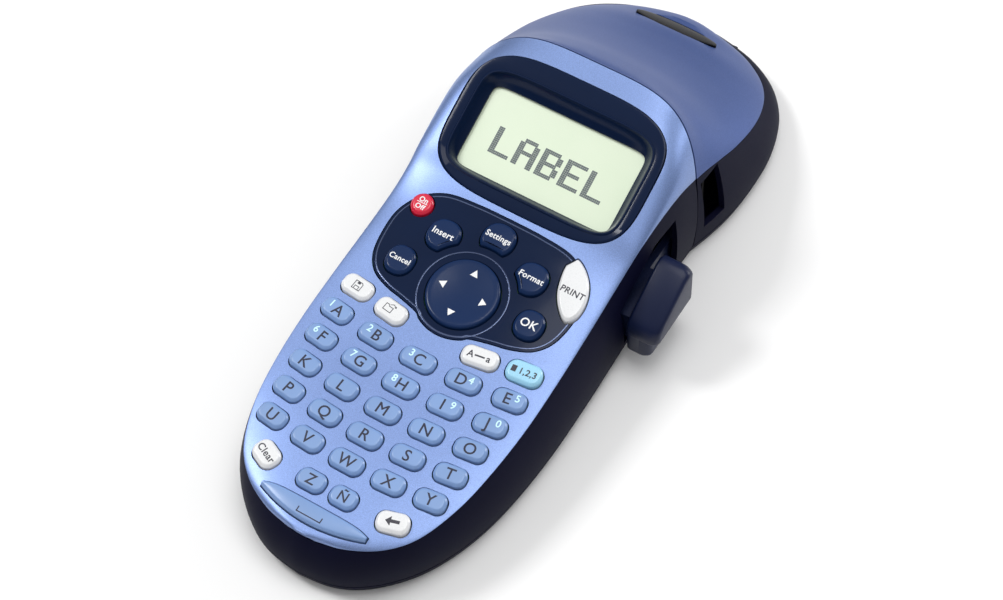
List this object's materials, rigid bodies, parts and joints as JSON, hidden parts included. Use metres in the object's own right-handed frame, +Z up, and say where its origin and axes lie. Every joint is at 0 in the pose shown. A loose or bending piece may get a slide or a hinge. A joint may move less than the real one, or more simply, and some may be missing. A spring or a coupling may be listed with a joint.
{
  "type": "label maker",
  "caption": "Handheld label maker with a letter keyboard, arrow disc, tilted display, side cutter lever, hinged tape cover and battery door.",
  "frame": {"origin": "on the flat underside, on the plane of symmetry, between the battery door and the tape bay", "axes": "+X to the right of the keys, +Y from the space bar to the tape cover, +Z up from the underside"},
  "size_m": [0.0899, 0.2086, 0.0494],
  "materials": {
    "blue_panel": "satin metallic paint on plastic",
    "navy_plastic": "fine matte texture",
    "gloss_navy": "gloss",
    "key_blue": "satin",
    "disc_blue": "gloss",
    "key_white": "satin",
    "key_cyan": "satin",
    "key_red": "satin",
    "lcd": "gloss",
    "window": "gloss",
    "steel": "ground",
    "board": "solder mask",
    "grey_plastic": "moulded",
    "head_metal": "satin",
    "rubber": "matte",
    "cells": "satin"
  },
  "bodies": {
    "casing": {"base_shell": "navy_plastic", "mid_frame": "navy_plastic", "front_panel": "blue_panel", "nav_panel": "gloss_navy", "lcd_bezel": "gloss_navy", "lcd_panel": "lcd", "circuit_board": "board", "battery_cells": "cells", "print_head": "head_metal", "tape_cassette": "grey_plastic"},
    "cover": {"tape_cover": "blue_panel", "cover_skirt": "navy_plastic", "tape_window": "window"},
    "door": {"battery_door": "navy_plastic"},
    "cutter": {"cutter_lever": "navy_plastic", "cutter_blade": "steel"},
    "roller": {"platen_roller": "rubber"},
    "disc_gimbal": {"nav_pivot": "grey_plastic"},
    "disc": {"nav_disc": "disc_blue"},
    "key_a_body": {"key_a": "key_blue"},
    "key_b_body": {"key_b": "key_blue"},
    "key_c_body": {"key_c": "key_blue"},
    "key_d_body": {"key_d": "key_blue"},
    "key_e_body": {"key_e": "key_blue"},
    "key_f_body": {"key_f": "key_blue"},
    "key_g_body": {"key_g": "key_blue"},
    "key_h_body": {"key_h": "key_blue"},
    "key_i_body": {"key_i": "key_blue"},
    "key_j_body": {"key_j": "key_blue"},
    "key_k_body": {"key_k": "key_blue"},
    "key_l_body": {"key_l": "key_blue"},
    "key_m_body": {"key_m": "key_blue"},
    "key_n_body": {"key_n": "key_blue"},
    "key_o_body": {"key_o": "key_blue"},
    "key_p_body": {"key_p": "key_blue"},
    "key_q_body": {"key_q": "key_blue"},
    "key_r_body": {"key_r": "key_blue"},
    "key_s_body": {"key_s": "key_blue"},
    "key_t_body": {"key_t": "key_blue"},
    "key_u_body": {"key_u": "key_blue"},
    "key_v_body": {"key_v": "key_blue"},
    "key_w_body": {"key_w": "key_blue"},
    "key_x_body": {"key_x": "key_blue"},
    "key_y_body": {"key_y": "key_blue"},
    "key_save_body": {"key_save": "key_white"},
    "key_open_body": {"key_open": "key_white"},
    "key_caps_body": {"key_caps": "key_white"},
    "key_number_body": {"key_number": "key_cyan"},
    "key_z_body": {"key_z": "key_blue"},
    "key_n_tilde_body": {"key_n_tilde": "key_blue"},
    "key_clear_body": {"key_clear": "key_white"},
    "key_backspace_body": {"key_backspace": "key_white"},
    "key_space_body": {"key_space": "key_blue"},
    "key_print_body": {"key_print": "key_white"},
    "key_on_off_body": {"key_on_off": "key_red"},
    "key_insert_body": {"key_insert": "disc_blue"},
    "key_settings_body": {"key_settings": "disc_blue"},
    "key_format_body": {"key_format": "disc_blue"},
    "key_cancel_body": {"key_cancel": "disc_blue"},
    "key_ok_body": {"key_ok": "disc_blue"}
  },
  "joints": [
    {"name": "cover_hinge", "type": "hinge", "parent": "casing", "child": "cover", "pos_m": [0, 0.1036, 0.0036], "axis": [-1, 0, 0], "range_deg": [0, 75]},
    {"name": "battery_door_hinge", "type": "hinge", "parent": "casing", "child": "door", "pos_m": [0, -0.0236, 0.00095], "axis": [1, 0, 0], "range_deg": [0, 80]},
    {"name": "cutter_slide", "type": "slide", "parent": "casing", "child": "cutter", "axis": [0, 1, 0], "range_m": [0, 0.0065], "stiffness_N_per_m": 400, "springref_m": -0.0005},
    {"name": "platen_turn", "type": "hinge", "parent": "casing", "child": "roller", "pos_m": [0.0264, 0.0477, 0.0056], "axis": [0, 0, 1], "continuous": true},
    {"name": "disc_tilt_front", "type": "hinge", "parent": "casing", "child": "disc_gimbal", "pos_m": [0, -0.0217, 0.02425], "axis": [1, 0, 0], "range_deg": [-2.5, 2.5], "stiffness_Nm_per_rad": 0.15},
    {"name": "disc_tilt_side", "type": "hinge", "parent": "disc_gimbal", "child": "disc", "pos_m": [0, -0.0217, 0.02425], "axis": [0, 1, 0], "range_deg": [-2.5, 2.5], "stiffness_Nm_per_rad": 0.15},
    {"name": "key_a_press", "type": "slide", "parent": "casing", "child": "key_a_body", "axis": [0, 0, -1], "range_m": [0, 0.001], "stiffness_N_per_m": 600, "springref_m": -0.0002},
    {"name": "key_b_press", "type": "slide", "parent": "casing", "child": "key_b_body", "axis": [0, 0, -1], "range_m": [0, 0.001], "stiffness_N_per_m": 600, "springref_m": -0.0002},
    {"name": "key_c_press", "type": "slide", "parent": "casing", "child": "key_c_body", "axis": [0, 0, -1], "range_m": [0, 0.001], "stiffness_N_per_m": 600, "springref_m": -0.0002},
    {"name": "key_d_press", "type": "slide", "parent": "casing", "child": "key_d_body", "axis": [0, 0, -1], "range_m": [0, 0.001], "stiffness_N_per_m": 600, "springref_m": -0.0002},
    {"name": "key_e_press", "type": "slide", "parent": "casing", "child": "key_e_body", "axis": [0, 0, -1], "range_m": [0, 0.001], "stiffness_N_per_m": 600, "springref_m": -0.0002},
    {"name": "key_f_press", "type": "slide", "parent": "casing", "child": "key_f_body", "axis": [0, 0, -1], "range_m": [0, 0.001], "stiffness_N_per_m": 600, "springref_m": -0.0002},
    {"name": "key_g_press", "type": "slide", "parent": "casing", "child": "key_g_body", "axis": [0, 0, -1], "range_m": [0, 0.001], "stiffness_N_per_m": 600, "springref_m": -0.0002},
    {"name": "key_h_press", "type": "slide", "parent": "casing", "child": "key_h_body", "axis": [0, 0, -1], "range_m": [0, 0.001], "stiffness_N_per_m": 600, "springref_m": -0.0002},
    {"name": "key_i_press", "type": "slide", "parent": "casing", "child": "key_i_body", "axis": [0, 0, -1], "range_m": [0, 0.001], "stiffness_N_per_m": 600, "springref_m": -0.0002},
    {"name": "key_j_press", "type": "slide", "parent": "casing", "child": "key_j_body", "axis": [0, 0, -1], "range_m": [0, 0.001], "stiffness_N_per_m": 600, "springref_m": -0.0002},
    {"name": "key_k_press", "type": "slide", "parent": "casing", "child": "key_k_body", "axis": [0, 0, -1], "range_m": [0, 0.001], "stiffness_N_per_m": 600, "springref_m": -0.0002},
    {"name": "key_l_press", "type": "slide", "parent": "casing", "child": "key_l_body", "axis": [0, 0, -1], "range_m": [0, 0.001], "stiffness_N_per_m": 600, "springref_m": -0.0002},
    {"name": "key_m_press", "type": "slide", "parent": "casing", "child": "key_m_body", "axis": [0, 0, -1], "range_m": [0, 0.001], "stiffness_N_per_m": 600, "springref_m": -0.0002},
    {"name": "key_n_press", "type": "slide", "parent": "casing", "child": "key_n_body", "axis": [0, 0, -1], "range_m": [0, 0.001], "stiffness_N_per_m": 600, "springref_m": -0.0002},
    {"name": "key_o_press", "type": "slide", "parent": "casing", "child": "key_o_body", "axis": [0, 0, -1], "range_m": [0, 0.001], "stiffness_N_per_m": 600, "springref_m": -0.0002},
    {"name": "key_p_press", "type": "slide", "parent": "casing", "child": "key_p_body", "axis": [0, 0, -1], "range_m": [0, 0.001], "stiffness_N_per_m": 600, "springref_m": -0.0002},
    {"name": "key_q_press", "type": "slide", "parent": "casing", "child": "key_q_body", "axis": [0, 0, -1], "range_m": [0, 0.001], "stiffness_N_per_m": 600, "springref_m": -0.0002},
    {"name": "key_r_press", "type": "slide", "parent": "casing", "child": "key_r_body", "axis": [0, 0, -1], "range_m": [0, 0.001], "stiffness_N_per_m": 600, "springref_m": -0.0002},
    {"name": "key_s_press", "type": "slide", "parent": "casing", "child": "key_s_body", "axis": [0, 0, -1], "range_m": [0, 0.001], "stiffness_N_per_m": 600, "springref_m": -0.0002},
    {"name": "key_t_press", "type": "slide", "parent": "casing", "child": "key_t_body", "axis": [0, 0, -1], "range_m": [0, 0.001], "stiffness_N_per_m": 600, "springref_m": -0.0002},
    {"name": "key_u_press", "type": "slide", "parent": "casing", "child": "key_u_body", "axis": [0, 0, -1], "range_m": [0, 0.001], "stiffness_N_per_m": 600, "springref_m": -0.0002},
    {"name": "key_v_press", "type": "slide", "parent": "casing", "child": "key_v_body", "axis": [0, 0, -1], "range_m": [0, 0.001], "stiffness_N_per_m": 600, "springref_m": -0.0002},
    {"name": "key_w_press", "type": "slide", "parent": "casing", "child": "key_w_body", "axis": [0, 0, -1], "range_m": [0, 0.001], "stiffness_N_per_m": 600, "springref_m": -0.0002},
    {"name": "key_x_press", "type": "slide", "parent": "casing", "child": "key_x_body", "axis": [0, 0, -1], "range_m": [0, 0.001], "stiffness_N_per_m": 600, "springref_m": -0.0002},
    {"name": "key_y_press", "type": "slide", "parent": "casing", "child": "key_y_body", "axis": [0, 0, -1], "range_m": [0, 0.001], "stiffness_N_per_m": 600, "springref_m": -0.0002},
    {"name": "key_save_press", "type": "slide", "parent": "casing", "child": "key_save_body", "axis": [0, 0, -1], "range_m": [0, 0.001], "stiffness_N_per_m": 600, "springref_m": -0.0002},
    {"name": "key_open_press", "type": "slide", "parent": "casing", "child": "key_open_body", "axis": [0, 0, -1], "range_m": [0, 0.001], "stiffness_N_per_m": 600, "springref_m": -0.0002},
    {"name": "key_caps_press", "type": "slide", "parent": "casing", "child": "key_caps_body", "axis": [0, 0, -1], "range_m": [0, 0.001], "stiffness_N_per_m": 600, "springref_m": -0.0002},
    {"name": "key_number_press", "type": "slide", "parent": "casing", "child": "key_number_body", "axis": [0, 0, -1], "range_m": [0, 0.001], "stiffness_N_per_m": 600, "springref_m": -0.0002},
    {"name": "key_z_press", "type": "slide", "parent": "casing", "child": "key_z_body", "axis": [0, 0, -1], "range_m": [0, 0.001], "stiffness_N_per_m": 600, "springref_m": -0.0002},
    {"name": "key_n_tilde_press", "type": "slide", "parent": "casing", "child": "key_n_tilde_body", "axis": [0, 0, -1], "range_m": [0, 0.001], "stiffness_N_per_m": 600, "springref_m": -0.0002},
    {"name": "key_clear_press", "type": "slide", "parent": "casing", "child": "key_clear_body", "axis": [0, 0, -1], "range_m": [0, 0.001], "stiffness_N_per_m": 600, "springref_m": -0.0002},
    {"name": "key_backspace_press", "type": "slide", "parent": "casing", "child": "key_backspace_body", "axis": [0, 0, -1], "range_m": [0, 0.001], "stiffness_N_per_m": 600, "springref_m": -0.0002},
    {"name": "key_space_press", "type": "slide", "parent": "casing", "child": "key_space_body", "axis": [0, 0, -1], "range_m": [0, 0.0006], "stiffness_N_per_m": 600, "springref_m": -0.0002},
    {"name": "key_print_press", "type": "slide", "parent": "casing", "child": "key_print_body", "axis": [0, 0, -1], "range_m": [0, 0.001], "stiffness_N_per_m": 600, "springref_m": -0.0002},
    {"name": "key_on_off_press", "type": "slide", "parent": "casing", "child": "key_on_off_body", "axis": [0, 0, -1], "range_m": [0, 0.001], "stiffness_N_per_m": 600, "springref_m": -0.0002},
    {"name": "key_insert_press", "type": "slide", "parent": "casing", "child": "key_insert_body", "axis": [0, 0, -1], "range_m": [0, 0.001], "stiffness_N_per_m": 600, "springref_m": -0.0002},
    {"name": "key_settings_press", "type": "slide", "parent": "casing", "child": "key_settings_body", "axis": [0, 0, -1], "range_m": [0, 0.001], "stiffness_N_per_m": 600, "springref_m": -0.0002},
    {"name": "key_format_press", "type": "slide", "parent": "casing", "child": "key_format_body", "axis": [0, 0, -1], "range_m": [0, 0.001], "stiffness_N_per_m": 600, "springref_m": -0.0002},
    {"name": "key_cancel_press", "type": "slide", "parent": "casing", "child": "key_cancel_body", "axis": [0, 0, -1], "range_m": [0, 0.001], "stiffness_N_per_m": 600, "springref_m": -0.0002},
    {"name": "key_ok_press", "type": "slide", "parent": "casing", "child": "key_ok_body", "axis": [0, 0, -1], "range_m": [0, 0.001], "stiffness_N_per_m": 600, "springref_m": -0.0002}
  ]
}
